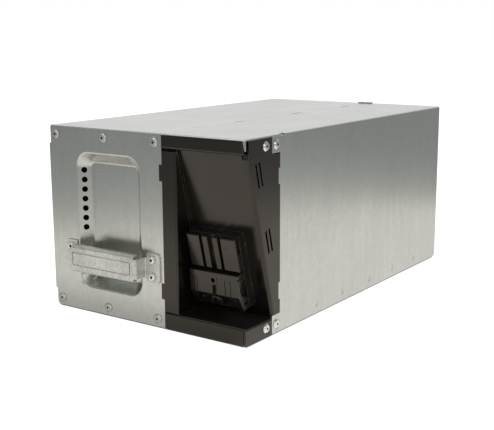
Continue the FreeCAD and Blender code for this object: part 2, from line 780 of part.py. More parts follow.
def connector_bracket():
    """Leaning back panel and right side panel of the bay, with the pairs of slits."""
    tall = case_height
    rise = lean_drop
    path = [(wall_face, 0.0), (right, 0.0), (right, 2 * bay_depth)]
    panel = folded("xy", path, black_sheet, panel_bend, -tall, rise)
    flange = block(wall_face, wall_face + black_sheet, -edge_flange, 0.1, -tall,
                   lean_drop - rail_drop - black_sheet)
    body = join(panel, [flange])
    cuts = [block(plug_x - boss_width / 2 - 0.3, plug_x + boss_width / 2 + 0.3, -1,
                  black_sheet + 1, -plug_drop - boss_length / 2 - 0.3,
                  -plug_drop + boss_length / 2 + 0.3)]
    for drop in slit_drops:
        for i in range(2):
            y = slit_back + i * slit_pitch
            cuts.append(block(right - 2 * black_sheet, right + 1, y - slit_width / 2,
                              y + slit_width / 2, -drop - slit_length / 2,
                              -drop + slit_length / 2))
    body = leaned(body.cut(group(cuts)))
    far = 2 * case_depth
    trims = [
        block(left, right + 1, front - far, back, -far, shelf_height),
        block(left, right + 1, front - far, back, under_top, far),
        block(left, right - panel_bend - 1, front - far, back, under_top - 6, far),
        block(left, right + 1, front - far, front + black_sheet, -far, far),
        block(right - 2 * panel_bend, right + 1, front - far, front + lean_setback + 0.5,
              top - lean_drop, far),
        block(right - 2 * black_sheet, right + 1, side_front, back, -far, far),
        block(right - 2 * black_sheet, right + 1, front + upper_tab, back,
              top - tab_top - tab_room, far),
        block(right - 2 * black_sheet, right + 1, front + upper_tab, back, -far, tab_bottom + 0.3),
    ]
    for low, height in (side_key_low, side_key_high):
        trims.append(block(right - 2 * black_sheet, right + 1, side_front - small_key - 0.1,
                           back, low - key_room, low + height + key_room))
    return body.cut(group(trims + rivet_cuts))


def top_rail():
    """Black band over the bay with its folded edges, and a strip behind the front plate."""
    lower = front + 3.9
    path = [(front + rail_flange, under_top), (front, under_top), (front, rail_low),
            (lower, rail_low)]
    body = folded("yz", path, black_sheet, bend, plate_right + 0.6, right - rail_end)
    end_cut = prism("xz", [(right - rail_end, rail_low - 1), (right + 2, rail_low - 1),
                           (right + 2, top), (right - rail_end - rail_slant, top)],
                    [0] * 4, front - 1, front + rail_flange + 1)
    strip = block(plate_right - rail_lap, plate_right + 0.6 + bend, front + sheet,
                  front + sheet + black_sheet, rail_low + bend, under_top - bend + sheet)
    body = join(body.cut(end_cut), [strip])
    behind_panel = leaned(block(left, right, 0, rail_flange, -case_height, lean_drop))
    fold = block(left, right, front + black_sheet, lower + 1, 0, rail_low + bend)
    return body.cut(group([behind_panel.common(fold)] + rivet_cuts))


def base_shelf():
    """Black tray under the bay: floor, front band and side band with an open corner."""
    x0 = plate_right + 0.6
    y1 = front + wall_depth

    def outer(c):
        return near(c.z, shelf_height) and (near(c.y, front) or near(c.x, right))

    def inner(c):
        return near(c.z, shelf_under) and (near(c.y, front + black_sheet)
                                           or near(c.x, right - black_sheet))

    body = skin(x0, right, front, y1, shelf_lift, shelf_height, black_sheet, bend, outer, inner,
                ("left", "back", "bottom"))
    cuts = [
        block(right - bend, right + 1, front + shelf_band, y1 + 1, -1, shelf_height + 1),
        block(right - black_sheet - shelf_seam, right - black_sheet, front - 1,
              front + black_sheet + 0.5, -1, shelf_under - 0.5),
    ]
    return body.cut(group(cuts + rivet_cuts))


# --- Connector, drawn on the upright panel and then leaned ----------------------------------
finger_start = plug_x - body_width / 2 + finger_inset
cable_spots = ((plug_x - 10.0, 4.0), (plug_x + 10.0, 4.0))


def plug_box(x0, x1, reach0, reach1, drop0, drop1):
    """Box by its reach ahead of the panel and its drop down the slope."""
    return block(x0, x1, -reach1, -reach0, -drop1, -drop0)


def plug_side(points, radii, x0, x1):
    """Side outline by reach and drop, extruded across."""
    return prism("yz", [(-reach, -drop) for reach, drop in points], radii, x0, x1)


plug_screw_spots = [(plug_x + side * plug_screw_spread, shell_low - plug_screw_rise)
                    for side in (-1, 1)]


def connector_plate():
    low = plug_drop + plate_length / 2
    body = plug_box(plug_x - plate_width / 2, plug_x + plate_width / 2, 0, plate_thick,
                    low - plate_length, low)
    hole = plug_box(plug_x - boss_width / 2 - 0.3, plug_x + boss_width / 2 + 0.3, -1, plate_thick + 1,
                    plug_drop - boss_length / 2 - 0.3, plug_drop + boss_length / 2 + 0.3)
    corners = [e for e in body.Edges if near(abs(e.CenterOfMass.x - plug_x), plate_width / 2)
               and e.Length < 2 * plate_thick]
    return body.makeFillet(3.0, corners).cut(hole)


def connector_body():
    """Black moulding that fills the plate's opening and carries the contacts."""
    half = body_width / 2
    body = plug_box(plug_x - half, plug_x + half, plate_thick, body_reach,
                    plug_drop - body_length / 2, shell_low)
    boss = plug_box(plug_x - boss_width / 2, plug_x + boss_width / 2, -boss_reach, plate_thick,
                    plug_drop - boss_length / 2, plug_drop + boss_length / 2)
    body = join(body, [boss])
    cuts = []
    for hx, reach in cable_spots:
        cuts.append(rod(lead / 2 + 0.1, V(hx, boss_reach - 8, -plug_drop + reach), V(0, 1, 0), 10))
    for a, b in zip(finger_edges, finger_edges[1:]):
        middle = finger_start + (a[1] + b[0]) / 2
        cuts.append(plug_box(middle - contact_thick / 2, middle + contact_thick / 2,
                             plate_thick, body_reach + 1, finger_drop + 3,
                             finger_drop + 3 + contact_length))
    return body.cut(group(cuts))


def contact_housing():
    """Four keyed fingers of the plug face on one web."""
    start = finger_start
    web = plug_box(start, start + finger_edges[-1][1], body_reach, body_reach + 1.5,
                   finger_drop, finger_drop + finger_length)
    fingers = []
    for a, b in finger_edges:
        finger = plug_box(start + a, start + b, body_reach, finger_reach,
                          finger_drop, finger_drop + finger_length)
        face = [e for e in finger.Edges if near(e.BoundBox.YMax, -finger_reach)]
        fingers.append(finger.makeFillet(finger_chamfer, face))
    body = join(web, fingers)
    last = start + finger_edges[-1][1]
    cuts = [plug_box(last - 2.2, last + 1, body_reach + 0.6, finger_reach - 1.3,
                     finger_drop - 1, finger_drop + side_slot)]
    for a, b in (finger_edges[0], finger_edges[-1]):
        spot = V(start + 0.62 * a + 0.38 * b, -finger_reach - 1, -finger_drop - 7.5)
        cuts.append(rod(1.1, spot, V(0, 1, 0), 1.4))
    for a, b in zip(finger_edges, finger_edges[1:]):
        middle = start + (a[1] + b[0]) / 2
        cuts.append(plug_box(middle - contact_thick / 2, middle + contact_thick / 2,
                             body_reach - 1, body_reach + 3, finger_drop + 3,
                             finger_drop + 3 + contact_length))
    return body.cut(group(cuts))


def contacts():
    """Blades that stand in the gaps between the fingers."""
    start = finger_start
    blades = []
    for a, b in zip(finger_edges, finger_edges[1:]):
        middle = start + (a[1] + b[0]) / 2
        blades.append(leaned(plug_box(middle - contact_thick / 2, middle + contact_thick / 2,
                                      plate_thick, finger_reach - 4, finger_drop + 3,
                                      finger_drop + 3 + contact_length)))
    return group(blades)


def face_reach(drop):
    """Reach of the lower shell's sloping face at a drop."""
    return shell_reach + (shell_swell - shell_reach) * (drop - shell_drop) / shell_face


def face_groove(middle, width, drop0, drop1, depth):
    """Groove of even depth along the lower shell's face."""
    beyond = shell_swell + 3
    points = [(face_reach(drop0) - depth, drop0), (beyond, drop0), (beyond, drop1),
              (face_reach(drop1) - depth, drop1)]
    return plug_side(points, [0] * 4, middle - width / 2, middle + width / 2)


def lower_shell():
    """Ribbed lower shell with its lip, eye and guide slot, open between two legs at its foot."""
    half = body_width / 2
    x0, x1 = plug_x - half, plug_x + half
    low = shell_low
    beyond = shell_swell + 1
    profile = [(body_reach, shell_drop), (shell_reach, shell_drop),
               (shell_swell, shell_drop + shell_face), (shell_foot, low), (body_reach, low)]
    body = plug_side(profile, [0, 0.8, 2.0, 1.0, 0], x0, x1)
    cuts = [plug_box(x0 + shell_leg, x1 - shell_leg, shell_floor, beyond,
                     shell_drop + shell_face + 1.0, low + 1)]
    for side_x in (x0, x1):
        cuts.append(plug_box(side_x - 1.2, side_x + 1.2, body_reach, beyond,
                             shell_drop + shell_lip, shell_drop + shell_lip + shell_groove))
        cuts.append(rod(bite / 2, V(side_x - bite_depth, -bite_reach, -shell_drop - bite_drop),
                        V(1, 0, 0), 2 * bite_depth))
        cuts.append(plug_box(side_x - 1.5, side_x + 1.5, body_reach + 0.5, body_reach + 6.0,
                             low - 7.5, low - 4.0))
    eye = V(plug_x - 1.0, -beyond, -shell_drop - eye_drop)
    cuts.append(rod(eye_hole / 2, eye, V(0, 1, 0), beyond - shell_floor))
    slot_top = shell_drop + guide_drop
    cuts.append(face_groove(plug_x, guide_slot, slot_top, shell_drop + shell_face + guide_out, 3.5))
    cuts.append(face_groove(plug_x + 3.5, 2.2, shell_drop + 3.5, shell_drop + 9.5, 0.5))
    for place in rib_places:
        cuts.append(face_groove(plug_x + place, rib, shell_drop + 5, shell_drop + shell_face, 0.6))
    for sx, drop in plug_screw_spots:
        cuts.append(rod(plug_screw_thread / 2 + 0.1, V(sx, -shell_floor - 1, -drop), V(0, 1, 0),
                        plug_screw_grip + 1.2))
    return body.cut(group(cuts))


def latch_arch():
    """Thin arch over the release button, in the open foot of the lower shell."""
    half = latch_width / 2
    top_drop = shell_low - latch_rise
    x0, x1 = plug_x - half, plug_x + half
    arch = prism("xz", [(x0, -top_drop - latch_height), (x1, -top_drop - latch_height),
                        (x1, -top_drop), (x0, -top_drop)], [0, 0, 3.4, 3.4],
                 -latch_reach, -shell_floor)
    inner = prism("xz", [(x0 + latch_thick, -top_drop - latch_height - 1),
                         (x1 - latch_thick, -top_drop - latch_height - 1),
                         (x1 - latch_thick, -top_drop - latch_thick),
                         (x0 + latch_thick, -top_drop - latch_thick)], [0, 0, 2.4, 2.4],
                  -latch_reach - 1, -shell_floor - 1)
    button = rod(2.2, V(plug_x, -shell_floor - 0.5, -top_drop - 4.0), V(0, -1, 0), 3.0)
    rim = [e for e in button.Edges if near(e.CenterOfMass.y, -shell_floor - 3.5)]
    return join(arch.cut(inner), [button.makeFillet(0.6, rim)])


def plug_screws():
    screws = []
    for sx, drop in plug_screw_spots:
        head = rod(plug_screw_head / 2, V(sx, -shell_floor, -drop), V(0, -1, 0), plug_screw_tall)
        rim = [e for e in head.Edges if near(e.CenterOfMass.y, -shell_floor - plug_screw_tall)]
        head = head.makeFillet(plug_screw_tall / 3, rim)
        shank = rod(plug_screw_thread / 2, V(sx, -shell_floor, -drop), V(0, 1, 0),
                    plug_screw_grip)
        slot = block(sx - plug_screw_slot / 2, sx + plug_screw_slot / 2,
                     -shell_floor - 2 * plug_screw_tall, -shell_floor - 0.55 * plug_screw_tall,
                     -drop - 0.36 * plug_screw_head, -drop + 0.36 * plug_screw_head)
        screws.append(leaned(join(head, [shank]).cut(slot)))
    return group(screws)


# --- Battery blocks ------------------------------------------------------------------------
def battery_x(side):
    """Lid plane and far side of a block in the left (-1) or right (1) column."""
    lid = side * column_inner
    return lid, lid + side * battery_across


def battery_y(row):
    return battery_front + row * (battery_deep + battery_gap)


def battery_block(side, row):
    """Sealed block on its end, its lid towards the middle channel."""
    lid, far = battery_x(side)
    y0 = battery_y(row)
    z0 = battery_floor
    step = lid + side * lid_depth
    case = block(min(step, far), max(step, far), y0, y0 + battery_deep, z0, z0 + battery_tall)
    upright = [e for e in case.Edges if near(e.CenterOfMass.x, far)]
    case = case.makeFillet(1.5, upright)
    cap = block(min(lid, step), max(lid, step), y0 + lid_step, y0 + battery_deep - lid_step,
                z0 + lid_step, z0 + battery_tall - lid_step)
    pockets = []
    for z in terminal_levels:
        pockets.append(block(min(lid - side, lid + side * 4.0), max(lid - side, lid + side * 4.0),
                             y0 + battery_deep / 2 - 8, y0 + battery_deep / 2 + 8, z - 7, z + 7))
    return join(case, [cap]).cut(group(pockets))


terminal_levels = (battery_floor + terminal_inset, battery_floor + battery_tall - terminal_inset)


def terminal(side, row, level):
    """Flat tab that rises from the bottom of its pocket in the lid."""
    lid = side * column_inner
    base = lid + side * 4.0
    tip = base - side * terminal_reach
    middle = battery_y(row) + battery_deep / 2
    return block(min(base, tip), max(base, tip), middle - terminal_width / 2,
                 middle + terminal_width / 2, terminal_levels[level] - terminal_thick / 2,
                 terminal_levels[level] + terminal_thick / 2)


def link(side, row, level):
    """Insulated lead between neighbouring terminals of one column."""
    lid = side * column_inner
    x0, x1 = min(lid, lid - side * link_thick), max(lid, lid - side * link_thick)
    y0 = battery_y(row) + battery_deep / 2
    y1 = battery_y(row + 1) + battery_deep / 2
    z = terminal_levels[level]
    body = block(x0, x1, y0 - link_width / 2, y1 + link_width / 2, z - link_thick / 2,
                 z + link_thick / 2)
    long_edges = [e for e in body.Edges if near(e.Length, y1 - y0 + link_width)]
    body = body.makeFillet(0.45 * link_thick, long_edges)
    return body.cut(group([terminal(side, row, level), terminal(side, row + 1, level)]))


def cross_link():
    """Lead that joins the last blocks of the two columns behind the divider."""
    row = battery_rows - 1
    level = row % 2
    z = terminal_levels[level]
    y = battery_y(row) + battery_deep / 2
    body = block(-column_inner, column_inner, y - link_width / 2, y + link_width / 2,
                 z - link_thick / 2, z + link_thick / 2)
    return body.cut(group([terminal(-1, row, level), terminal(1, row, level)]))


def battery_liner():
    """Insulating sheet under the blocks and up both sides."""
    x0, x1 = left + 2 * sheet, right - 2 * sheet
    y0 = battery_front
    y1 = back - sheet - end_pad

    def long_lower(c):
        return near(c.z, sheet) and (near(c.x, x0) or near(c.x, x1))

    outer = rounded_box(x0, x1, y0, y1, sheet, battery_floor + battery_tall, bend - sheet,
                        long_lower)
    inner = block(x0 + liner_thick, x1 - liner_thick, y0 - 1, y1 + 1, battery_floor,
                  battery_floor + battery_tall + 1)
    return outer.cut(inner)


def centre_divider():
    """Board between the two rows of terminals, with a way through for the cross link."""
    row = battery_rows - 1
    y1 = battery_y(row) + battery_deep
    board = block(-divider_thick / 2, divider_thick / 2, battery_front, y1, battery_floor,
                  battery_floor + battery_tall - 2)
    z = terminal_levels[row % 2]
    middle = battery_y(row) + battery_deep / 2
    way = block(-divider_thick, divider_thick, middle - link_width / 2 - 1,
                middle + link_width / 2 + 1, z - link_thick / 2 - 1, z + link_thick / 2 + 1)
    return board.cut(way)


def top_pads():
    """Foam strips between the blocks and the top of the case."""
    z0 = battery_floor + battery_tall
    y1 = battery_y(battery_rows - 1) + battery_deep
    pads = []
    for side in (-1, 1):
        lid, far = battery_x(side)
        inner = lid + side * 6
        pads.append(block(min(inner, far), max(inner, far), battery_front + 2, y1 - rear_flange,
                          z0, under_flange))
    return group(pads)


def end_pads():
    """Foam sheets ahead of and behind the blocks, split at the wiring channel."""
    z1 = battery_floor + battery_tall - 6
    rear = back - sheet
    pads = []
    for side in (-1, 1):
        lid, far = battery_x(side)
        inner = lid + side * lid_depth
        outer = far - side * 2
        x0, x1 = min(inner, outer), max(inner, outer)
        pads.append(block(x0, x1, bulkhead_front + sheet, battery_front, pan_flange + 2, z1))
        pads.append(block(x0, x1, rear - end_pad, rear, pan_flange + 2, z1))
    return group(pads)


# --- Leads, grommets and fuse ---------------------------------------------------------------
lead_level = terminal_levels[1]
lead_gap = column_inner - 4.0
grommet_spots = [V(side * grommet_spread, bulkhead_front, lead_level - drop)
                 for side, drop in zip((-1, 1), grommet_drops)]
fuse_x = -58.0
fuse_z = 74.0


def tube(points, radius):
    """Lead along straight runs joined by tangent arcs as large as the runs allow."""
    edges = []
    start = points[0]
    radii = []
    for i in range(1, len(points) - 1):
        back_way = points[i - 1] - points[i]
        on_way = points[i + 1] - points[i]
        shorter = min(back_way.Length, on_way.Length)
        half_turn = (math.pi - back_way.getAngle(on_way)) / 2
        bend_radius = 0.45 * shorter / math.tan(half_turn)
        reach = 0.45 * shorter
        u, w = back_way.normalize(), on_way.normalize()
        inward = (u + w).normalize()
        a, b = points[i] + u * reach, points[i] + w * reach
        middle = points[i] + inward * (bend_radius / math.cos(half_turn) - bend_radius)
        if (a - start).Length > 1e-6:
            edges.append(Part.makeLine(start, a))
        edges.append(Part.Arc(a, middle, b).toShape())
        start = b
        radii.append(round(bend_radius, 1))
    edges.append(Part.makeLine(start, points[-1]))
    path = Part.Wire(edges)
    first = points[1] - points[0]
    ring = Part.Wire(Part.makeCircle(radius, points[0], first))
    swept = path.makePipeShell([ring], True, False)
    print("lead: radii", radii, "volume over section times length %.3f"
          % (swept.Volume / (math.pi * radius ** 2 * path.Length)))
    return swept


def back_of_plug(spot):
    """Where a lead enters the boss of the connector, and the way it points."""
    x, level = spot
    mouth = lean_place.multVec(V(x, boss_reach, -plug_drop + level))
    way = lean_place.Rotation.multVec(V(0, 1, 0))
    return mouth, way


def terminal_end(side):
    """Point ahead of the first block's upper terminal, in the wiring channel."""
    return V(side * lead_gap, battery_y(0) + battery_deep / 2 - link_width, lead_level)


def through_grommet(hole, end):
    """Last points of a lead, through its grommet and back to its terminal."""
    return [hole - V(0, grommet_run, 0), hole + V(0, grommet_past, 0),
            end - V(0, link_width + 1, 0), end]


def lead_positive():
    mouth, way = back_of_plug(cable_spots[1])
    hole = grommet_spots[1]
    end = terminal_end(1)
    points = [mouth - way * lead, mouth + way * lead_run, hole + V(*lead_sweep)]
    points += through_grommet(hole, end)
    return tube(points, lead / 2)


def lead_negative():
    mouth, way = back_of_plug(cable_spots[0])
    port = V(fuse_x + fuse_length / 2, bulkhead_front - fuse_width / 2, fuse_z)
    points = [mouth - way * lead, mouth + way * lead_run,
              V(port.x + fuse_run, port.y - lead, port.z - lead),
              V(port.x + fuse_bend, port.y, port.z), port]
    return tube(points, lead / 2)


def lead_fuse():
    start = V(fuse_x, bulkhead_front - fuse_width / 2, fuse_z + fuse_height / 2)
    hole = grommet_spots[0]
    end = terminal_end(-1)
    points = [start, start + V(*fuse_rise), hole + V(*fuse_sweep)] + through_grommet(hole, end)
    return tube(points, lead / 2)


def terminal_sockets():
    """Push-on sockets at the pack ends of the two power leads."""
    sockets = []
    for side in (-1, 1):
        end = terminal_end(side)
        y1 = battery_y(0) + battery_deep / 2 + link_width / 2
        x0 = min(side * column_inner, side * (lead_gap - 2.6))
        x1 = max(side * column_inner, side * (lead_gap - 2.6))
        body = block(x0, x1, end.y, y1, lead_level - 4, lead_level + 4)
        sockets.append(body.cut(terminal(side, 0, 1)))
    return group(sockets)


def grommet(spot):
    """Rubber ring that grips the bulkhead's edge and closes round the lead."""
    hole = grommet_hole / 2
    bore = lead / 2 + 1.2
    depth = sheet / 2 + grommet_wall
    points = [(bore, -depth), (hole + grommet_flange, -depth), (hole + grommet_flange, -sheet / 2),
              (hole, -sheet / 2), (hole, sheet / 2), (hole + grommet_flange, sheet / 2),
              (hole + grommet_flange, depth), (bore, depth)]
    wire = outline([V(r, 0, h) for r, h in points], [1.0, 1.0, 0, 0, 0, 0, 1.0, 1.0])
    ring = Part.Face(wire).revolve(V(0, 0, 0), V(0, 0, 1), 360)
    return placed(ring, V(spot.x, bulkhead_front + sheet / 2, spot.z), V(0, 1, 0))


def fuse_holder():
    """Clip block on the bulkhead, open at the front round the fuse."""
    x0, x1 = fuse_x - fuse_length / 2, fuse_x + fuse_length / 2
    z0, z1 = fuse_z - fuse_height / 2, fuse_z + fuse_height / 2
    y1 = bulkhead_front
    body = block(x0, x1, y1 - fuse_width, y1, z0, z1)
    cuts = [block(x0 + 7, x1 - 7, y1 - fuse_width - 1, y1 - 3, z0 - 1, z1 + 1),
            rod(fuse_round / 2 + 0.1, V(x0 + 3, y1 - fuse_width / 2 - 1, fuse_z), V(1, 0, 0),
                fuse_length - 6)]
    return body.cut(group(cuts))


def fuse():
    """Round fuse with a cap at each end."""
    start = V(fuse_x - fuse_length / 2 + 3, bulkhead_front - fuse_width / 2 - 1, fuse_z)
    length = fuse_length - 6
    body = rod(fuse_round / 2 - 0.5, start, V(1, 0, 0), length)
    caps = [rod(fuse_round / 2, start, V(1, 0, 0), 8),
            rod(fuse_round / 2, start + V(length - 8, 0, 0), V(1, 0, 0), 8)]
    return join(body, caps)


# --- Save every piece ----------------------------------------------------------------------
def build():
    save("main_cover", main_cover())
    save("side_cover", side_cover())
    save("base_pan", base_pan())
    save("rear_panel", rear_panel())
    save("front_brace", front_brace())
    save("corner_gusset", corner_gusset())
    save("bulkhead", bulkhead())
    save("handle", handle())
    save("handle_screws", group([placed(screw(strap + sheet + nut_height + 1), p, facing_front)
                                 for p in screw_spots]))
    save("handle_nuts", group([placed(nut(), V(p.x, front + sheet, p.z), V(0, 1, 0))
                               for p in screw_spots]))
    save("front_rivets", rivet_group(front_rivet_spots, facing_front, 2))
    save("bay_rivets", rivet_group(bay_rivet_spots, facing_right, 2))
    save("side_rivets", rivet_group(side_rivet_spots, facing_right, 2))
    save("top_rail", top_rail())
    save("bay_wall", bay_wall())
    save("connector_bracket", connector_bracket())
    save("base_shelf", base_shelf())
    save("connector_plate", leaned(connector_plate()))
    save("connector_body", leaned(connector_body()))
    save("contact_housing", leaned(contact_housing()))
    save("contacts", contacts())
    save("lower_shell", leaned(lower_shell()))
    save("latch_arch", leaned(latch_arch()))
    save("plug_screws", plug_screws())
    for side, column in ((-1, "left"), (1, "right")):
        for row in range(battery_rows):
            save("battery_%s_%d" % (column, row + 1), battery_block(side, row))
    save("terminals", group([terminal(side, row, level) for side in (-1, 1)
                             for row in range(battery_rows) for level in (0, 1)]))
    save("link_leads", group([link(side, row, row % 2) for side in (-1, 1)
                              for row in range(battery_rows - 1)] + [cross_link()]))
    save("battery_liner", battery_liner())
    save("centre_divider", centre_divider())
    save("top_pads", top_pads())
    save("end_pads", end_pads())
    save("grommets", group([grommet(p) for p in grommet_spots]))
    save("fuse_holder", fuse_holder())
    save("fuse", fuse())
    save("lead_positive", lead_positive())
    save("lead_negative", lead_negative())
    save("lead_fuse", lead_fuse())
    save("terminal_sockets", terminal_sockets())


build()
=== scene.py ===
import json
import math

import bpy
import numpy as np
from mathutils import Matrix, Vector


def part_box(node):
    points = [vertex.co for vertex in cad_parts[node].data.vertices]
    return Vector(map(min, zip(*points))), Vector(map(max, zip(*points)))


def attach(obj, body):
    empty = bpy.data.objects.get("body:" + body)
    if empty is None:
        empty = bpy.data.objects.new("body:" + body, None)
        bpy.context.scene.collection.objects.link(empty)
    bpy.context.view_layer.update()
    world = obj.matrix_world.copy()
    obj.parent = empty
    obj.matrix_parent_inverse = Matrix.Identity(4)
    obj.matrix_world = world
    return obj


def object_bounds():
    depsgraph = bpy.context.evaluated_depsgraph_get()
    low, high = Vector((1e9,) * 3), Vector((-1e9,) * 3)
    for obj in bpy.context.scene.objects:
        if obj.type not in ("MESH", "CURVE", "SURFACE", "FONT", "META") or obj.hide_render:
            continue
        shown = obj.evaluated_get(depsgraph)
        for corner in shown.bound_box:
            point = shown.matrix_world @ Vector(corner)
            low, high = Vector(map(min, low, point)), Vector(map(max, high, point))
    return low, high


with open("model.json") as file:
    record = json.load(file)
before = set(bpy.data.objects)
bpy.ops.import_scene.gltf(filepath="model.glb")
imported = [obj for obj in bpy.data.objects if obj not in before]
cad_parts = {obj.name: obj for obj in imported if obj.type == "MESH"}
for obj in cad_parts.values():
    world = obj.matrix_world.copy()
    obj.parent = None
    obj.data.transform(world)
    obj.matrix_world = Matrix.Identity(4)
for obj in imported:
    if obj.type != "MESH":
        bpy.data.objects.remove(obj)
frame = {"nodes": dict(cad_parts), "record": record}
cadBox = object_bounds()
nodes = frame["nodes"]
print("frame loaded:", len(nodes), "nodes")


cameraSpec = {
    "place": (0.5048, -0.7431, 0.2471),
    "yaw": 35.16,      # degrees about the upright
    "pitch": 11.47,    # degrees below the level
    "roll": 0.28,
    "lens": 66.8,
    "sensor": 36.0,
    "clipEnd": 50.0,
}


# Camera from its place and its turns about the upright, the level and its own axis.
def makeCamera(spec):
    yaw, pitch, roll = (math.radians(spec[k]) for k in ("yaw", "pitch", "roll"))
    right = Vector((math.cos(yaw), math.sin(yaw), 0.0))
    ahead = Vector((-math.sin(yaw) * math.cos(pitch), math.cos(yaw) * math.cos(pitch),
                    -math.sin(pitch)))
    down = ahead.cross(right)
    axisX = right * math.cos(roll) + down * math.sin(roll)
    axisY = right * math.sin(roll) - down * math.cos(roll)
    turn = Matrix((axisX, axisY, -ahead)).transposed().to_4x4()
    data = bpy.data.cameras.new("studioCamera")
    data.lens = spec["lens"]
    data.sensor_width = spec["sensor"]
    data.clip_end = spec["clipEnd"]
    camera = bpy.data.objects.new("studioCamera", data)
    bpy.context.scene.collection.objects.link(camera)
    camera.matrix_world = Matrix.Translation(spec["place"]) @ turn
    bpy.context.scene.camera = camera


makeCamera(cameraSpec)
print("camera set")


screenCurve = {"whole": 255.0, "knee": 0.04045, "slope": 12.92, "lift": 0.055, "power": 2.4}


# Linear colour from values of 0 to 255.
def linear(colour):
    curve = screenCurve
    out = []
    for part in colour:
        part = part / curve["whole"]
        if part <= curve["knee"]:
            out.append(part / curve["slope"])
        else:
            out.append(((part + curve["lift"]) / (1.0 + curve["lift"])) ** curve["power"])
    return tuple(out) + (1.0,)


def addNode(tree, kind, **values):
    node = tree.nodes.new(kind)
    for key, value in values.items():
        if hasattr(node, key):
            setattr(node, key, value)
        else:
            node.inputs[key].default_value = value
    return node


# A number or colour goes on the socket, an output is linked to it.
def feed(tree, socket, value):
    if isinstance(value, (int, float, tuple)):
        socket.default_value = value
    else:
        tree.links.new(value, socket)


def mathNode(tree, operation, a, b):
    node = addNode(tree, "ShaderNodeMath", operation=operation)
    feed(tree, node.inputs[0], a)
    feed(tree, node.inputs[1], b)
    return node.outputs[0]


def remap(tree, value, low, high, newLow, newHigh):
    node = addNode(tree, "ShaderNodeMapRange", interpolation_type="SMOOTHSTEP")
    tree.links.new(value, node.inputs["Value"])
    node.inputs["From Min"].default_value = low
    node.inputs["From Max"].default_value = high
    node.inputs["To Min"].default_value = newLow
    node.inputs["To Max"].default_value = newHigh
    return node.outputs["Result"]


def mixColour(tree, factor, a, b):
    node = addNode(tree, "ShaderNodeMix", data_type="RGBA")
    colours = [s for s in node.inputs if s.type == "RGBA"]
    feed(tree, node.inputs[0], factor)
    feed(tree, colours[0], a)
    feed(tree, colours[1], b)
    return [s for s in node.outputs if s.type == "RGBA"][0]


def objectPlace(tree):
    return tree.nodes.new("ShaderNodeTexCoord").outputs["Object"]


def stretched(tree, vector, factors):
    node = addNode(tree, "ShaderNodeVectorMath", operation="MULTIPLY")
    tree.links.new(vector, node.inputs[0])
    node.inputs[1].default_value = factors
    return node.outputs[0]


def noise(tree, vector, scale, detail, rough):
    node = addNode(tree, "ShaderNodeTexNoise", Detail=detail, Roughness=rough)
    tree.links.new(vector, node.inputs["Vector"])
    feed(tree, node.inputs["Scale"], scale)
    return node.outputs["Fac"]


# Empty shader group with named sockets, and its two end nodes.
def newGroup(name, inputs, outputs):
    group = bpy.data.node_groups.new(name, "ShaderNodeTree")
    sockets = group.interface
    for socket, default in inputs:
        item = sockets.new_socket(name=socket, in_out="INPUT", socket_type="NodeSocketFloat")
        item.default_value = default
    for socket in outputs:
        sockets.new_socket(name=socket, in_out="OUTPUT", socket_type="NodeSocketFloat")
    return group, group.nodes.new("NodeGroupInput"), group.nodes.new("NodeGroupOutput")


def useGroup(tree, group, **values):
    node = tree.nodes.new("ShaderNodeGroup")
    node.node_tree = group
    for name, value in values.items():
        node.inputs[name.replace("_", " ")].default_value = value
    return node


zincPattern = {
    "inputs": (("Patch Size", 0.006), ("Streak", 0.5), ("Mottle", 0.2)),
    "streakStretch": (150.0, 150.0, 12.0),   # upright streaks, cells to the metre
    "streakDetail": 5.0,
    "streakRough": 0.6,
    "cloudStretch": (22.0, 22.0, 9.0),
    "cloudDetail": 3.0,
    "cloudRough": 0.55,
    "mottleScale": 650.0,
    "mottleDetail": 4.0,
    "mottleRough": 0.65,
    "cloudShare": 0.4,
    "patchShare": 0.08,
    "cloudHeight": 0.8,
    "streakHeight": 0.04,
}


# Zinc coating: fine upright streaks, soft clouds, small crystal patches and mottle.
def makeZincGroup(spec):
    group, source, target = newGroup("zincCoating", spec["inputs"], ["Tone", "Height"])
    place = objectPlace(group)
    streak = noise(group, stretched(group, place, spec["streakStretch"]), 1.0,
                   spec["streakDetail"], spec["streakRough"])
    cloud = noise(group, stretched(group, place, spec["cloudStretch"]), 1.0,
                  spec["cloudDetail"], spec["cloudRough"])
    mottle = noise(group, place, spec["mottleScale"], spec["mottleDetail"], spec["mottleRough"])
    patches = group.nodes.new("ShaderNodeTexVoronoi")
    inverse = mathNode(group, "DIVIDE", 1.0, source.outputs["Patch Size"])
    group.links.new(place, patches.inputs["Vector"])
    group.links.new(inverse, patches.inputs["Scale"])
    patch = group.nodes.new("ShaderNodeSeparateColor")
    group.links.new(patches.outputs["Color"], patch.inputs[0])
    mottled = mathNode(group, "MULTIPLY", mottle, source.outputs["Mottle"])
    tone = mathNode(group, "MULTIPLY", streak, source.outputs["Streak"])
    tone = mathNode(group, "ADD", tone, mathNode(group, "MULTIPLY", cloud, spec["cloudShare"]))
    tone = mathNode(group, "ADD", tone, mottled)
    tone = mathNode(group, "ADD", tone,
                    mathNode(group, "MULTIPLY", patch.outputs[0], spec["patchShare"]))
    group.links.new(tone, target.inputs["Tone"])
    height = mathNode(group, "ADD", mathNode(group, "MULTIPLY", cloud, spec["cloudHeight"]),
                      mottled)
    height = mathNode(group, "ADD", height,
                      mathNode(group, "MULTIPLY", streak, spec["streakHeight"]))
    group.links.new(height, target.inputs["Height"])
    return group


edgePattern = {
    "inputs": (("Width", 0.0006), ("Broken", 0.4)),
    "samples": 4,
    "plain": 0.995,       # cosine at which an edge starts to show
    "sharp": 0.85,
    "speckScale": 260.0,
    "speckDetail": 3.0,
    "speckRough": 0.55,
    "gapFrom": 0.16,
    "gapTo": 0.26,
    "gapMask": 0.35,
}


